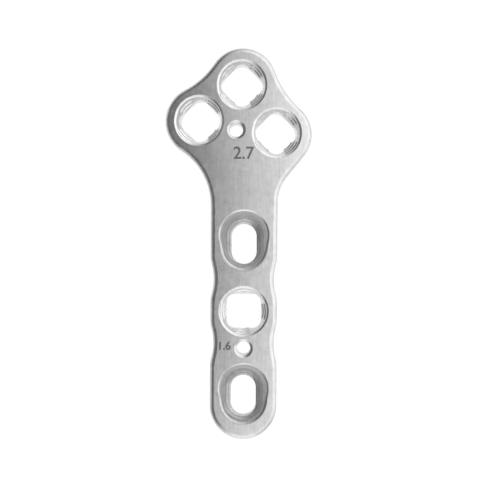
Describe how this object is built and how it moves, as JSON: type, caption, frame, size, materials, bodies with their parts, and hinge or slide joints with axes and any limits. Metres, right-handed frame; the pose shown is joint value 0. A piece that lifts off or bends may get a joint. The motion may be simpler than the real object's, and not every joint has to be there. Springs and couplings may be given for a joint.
{
  "type": "orthopedic bone plate",
  "caption": "Small right-hand bone plate with a three-lobed head of locking holes, a waisted shaft with ramped compression slots, and guide-wire holes.",
  "frame": {"origin": "axis of the shaft's guide-wire hole, on the plane that the plate lies on with its bone side down", "axes": "+Y along the shaft towards the three-lobed head, +X to the right seen from above, +Z away from the bone"},
  "size_m": [0.0169, 0.045, 0.0035],
  "materials": {
    "steel": "satin, fine blasted and tumbled implant steel with brighter rounded edges"
  },
  "bodies": {
    "root": {"bone_plate": "steel"}
  },
  "joints": []
}
